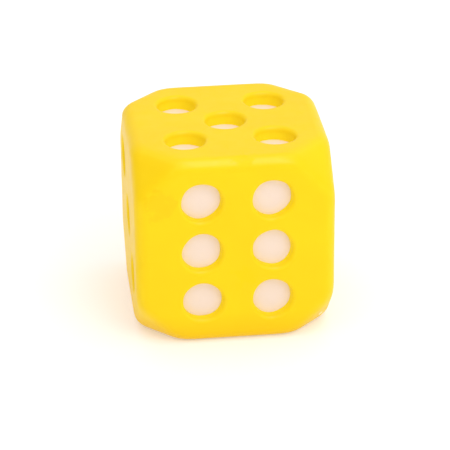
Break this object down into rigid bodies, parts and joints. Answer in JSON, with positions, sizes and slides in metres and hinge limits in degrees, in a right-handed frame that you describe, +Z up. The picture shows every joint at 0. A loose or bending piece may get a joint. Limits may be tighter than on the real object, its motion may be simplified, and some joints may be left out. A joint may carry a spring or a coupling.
{
  "type": "giant foam yard die",
  "caption": "Large soft foam cube with flat-cut corners, rounded edges and round recessed pips, for rolling on grass or floor.",
  "frame": {"origin": "centre of the bottom face, the one with two pips, on the surface that the die rests on", "axes": "+Z up out of the face with five pips; -Y out of the face with six pips; +X out of the face with four pips"},
  "size_m": [0.16, 0.16, 0.16],
  "materials": {
    "body_foam": "satin",
    "pip_foam": "matte"
  },
  "bodies": {
    "root": {"foam_slab_1": "body_foam", "foam_slab_2": "body_foam", "foam_slab_3": "body_foam", "foam_slab_4": "body_foam", "pip_one_centre": "pip_foam", "pip_two_lower_left": "pip_foam", "pip_two_upper_right": "pip_foam", "pip_three_upper_left": "pip_foam", "pip_three_centre": "pip_foam", "pip_three_lower_right": "pip_foam", "pip_four_upper_left": "pip_foam", "pip_four_upper_right": "pip_foam", "pip_four_lower_left": "pip_foam", "pip_four_lower_right": "pip_foam", "pip_five_upper_left": "pip_foam", "pip_five_upper_right": "pip_foam", "pip_five_lower_left": "pip_foam", "pip_five_lower_right": "pip_foam", "pip_five_centre": "pip_foam", "pip_six_upper_left": "pip_foam", "pip_six_upper_right": "pip_foam", "pip_six_middle_left": "pip_foam", "pip_six_middle_right": "pip_foam", "pip_six_lower_left": "pip_foam", "pip_six_lower_right": "pip_foam"}
  },
  "joints": []
}
